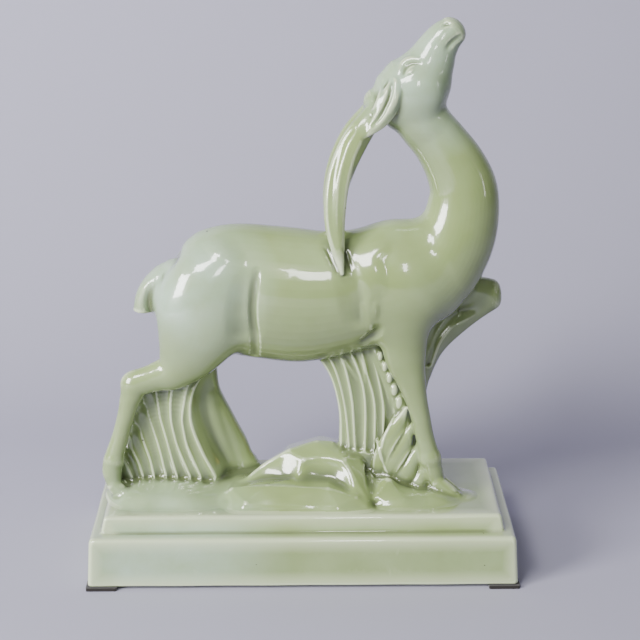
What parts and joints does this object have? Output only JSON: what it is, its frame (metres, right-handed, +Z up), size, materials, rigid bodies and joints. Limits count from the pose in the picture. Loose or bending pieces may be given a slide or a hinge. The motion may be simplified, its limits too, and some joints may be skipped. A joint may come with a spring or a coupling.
{
  "type": "television lamp",
  "caption": "Glazed ceramic television lamp: an antelope arching back over rocks and grasses on a stepped hollow plinth, with a small lampholder and bulb behind it.",
  "frame": {"origin": "middle of the base, at the underside of the four foot pads", "axes": "+Z up, +X towards the animal's chest, +Y towards the wall behind the lamp; the modelled side faces -Y"},
  "size_m": [0.2528, 0.1168, 0.3246],
  "materials": {
    "glaze": "glossy celadon-green glaze",
    "felt": "dark brown felt",
    "rubber": "matt",
    "brass": "satin, slightly dulled",
    "steel": "zinc plated",
    "fibre": "matt vulcanised fibre",
    "phenolic": "moulded phenolic",
    "bulb_glass": "clear",
    "tungsten": "drawn wire"
  },
  "bodies": {
    "lamp": {"plinth": "glaze", "antelope_body": "glaze", "antelope_head": "glaze", "near_horn": "glaze", "far_horn": "glaze", "near_ear": "glaze", "far_ear": "glaze", "tail": "glaze", "near_hind_leg": "glaze", "far_hind_leg": "glaze", "near_foreleg": "glaze", "raised_foreleg": "glaze", "grass_sheaf": "glaze", "reed_clump": "glaze", "knee_frond": "glaze", "broad_leaves": "glaze", "seed_stem": "glaze", "boulder": "glaze", "side_rock": "glaze", "left_ground": "glaze", "right_ground": "glaze", "foot_pad_front_left": "felt", "foot_pad_front_right": "felt", "foot_pad_back_left": "felt", "foot_pad_back_right": "felt", "cord_grommet": "rubber", "lamp_nipple": "steel", "lower_washer": "steel", "lower_locknut": "steel", "check_ring": "brass", "socket_cap": "brass", "socket_shell": "brass", "shell_liner": "fibre", "socket_body": "phenolic", "screw_contact": "brass", "centre_contact": "brass", "terminal_screw_hot": "brass", "terminal_screw_neutral": "steel"},
    "switch": {"switch_shaft": "brass", "switch_knob": "phenolic"},
    "bulb": {"bulb_cap": "brass", "bulb_tip_contact": "steel", "bulb_glass": "bulb_glass", "bulb_mount": "bulb_glass", "bulb_filament": "tungsten"}
  },
  "joints": [
    {"name": "switch_turn", "type": "hinge", "parent": "lamp", "child": "switch", "pos_m": [0.05, 0.05, 0.0645], "axis": [0, 1, 0], "continuous": true},
    {"name": "bulb_lift", "type": "slide", "parent": "lamp", "child": "bulb", "axis": [0, 0, 1], "range_m": [0, 0.03]}
  ]
}
